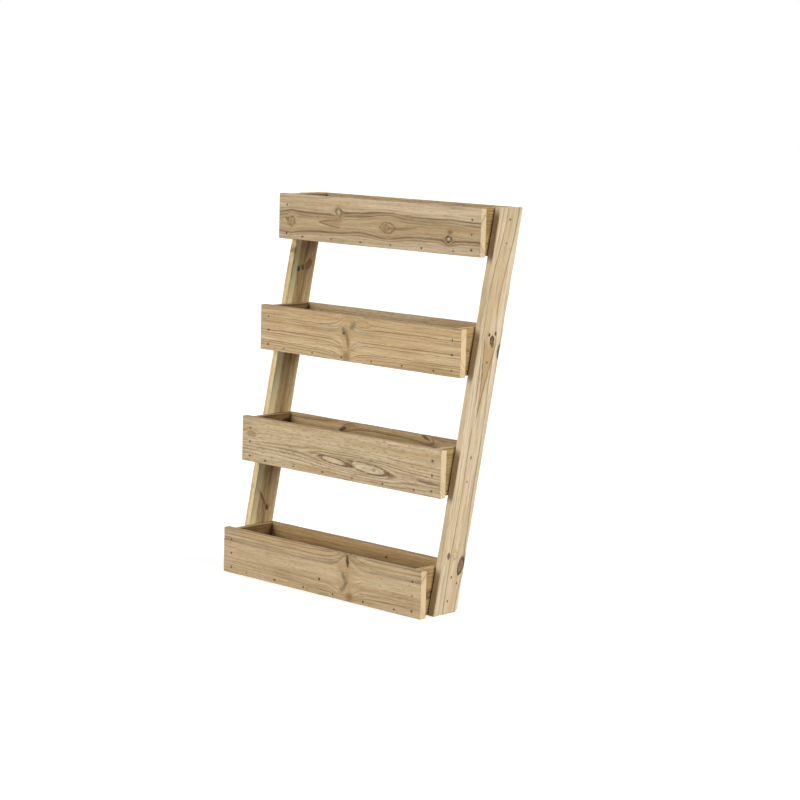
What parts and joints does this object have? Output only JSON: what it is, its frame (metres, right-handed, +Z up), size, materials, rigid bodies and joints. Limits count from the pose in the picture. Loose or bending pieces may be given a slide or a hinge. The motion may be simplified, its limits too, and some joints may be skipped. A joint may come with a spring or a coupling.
{
  "type": "vertical planter stand",
  "caption": "Leaning wooden planter stand: open troughs nailed level between two sloping uprights, each trough stepped back from the one below.",
  "frame": {"origin": "on the floor, at the middle of the stand's width and depth", "axes": "+Z up, -Y towards the front, +X to the right as seen from the front"},
  "size_m": [0.8, 0.38, 1.125],
  "materials": {
    "upright_wood": "pressure-treated planed softwood, unpainted, grain up the plank",
    "trough_wood": "pressure-treated planed softwood, unpainted, knots and flat grain",
    "nail_steel": "dull galvanised steel"
  },
  "bodies": {
    "root": {"left_upright": "upright_wood", "right_upright": "upright_wood", "bottom_front_board": "trough_wood", "bottom_back_board": "trough_wood", "bottom_left_end": "trough_wood", "bottom_right_end": "trough_wood", "bottom_base": "trough_wood", "bottom_front_nails": "nail_steel", "bottom_back_nails": "nail_steel", "bottom_side_nails": "nail_steel", "lower_front_board": "trough_wood", "lower_back_board": "trough_wood", "lower_left_end": "trough_wood", "lower_right_end": "trough_wood", "lower_base": "trough_wood", "lower_front_nails": "nail_steel", "lower_back_nails": "nail_steel", "lower_side_nails": "nail_steel", "upper_front_board": "trough_wood", "upper_back_board": "trough_wood", "upper_left_end": "trough_wood", "upper_right_end": "trough_wood", "upper_base": "trough_wood", "upper_front_nails": "nail_steel", "upper_back_nails": "nail_steel", "upper_side_nails": "nail_steel", "top_front_board": "trough_wood", "top_back_board": "trough_wood", "top_left_end": "trough_wood", "top_right_end": "trough_wood", "top_base": "trough_wood", "top_front_nails": "nail_steel", "top_back_nails": "nail_steel", "top_side_nails": "nail_steel"}
  },
  "joints": []
}
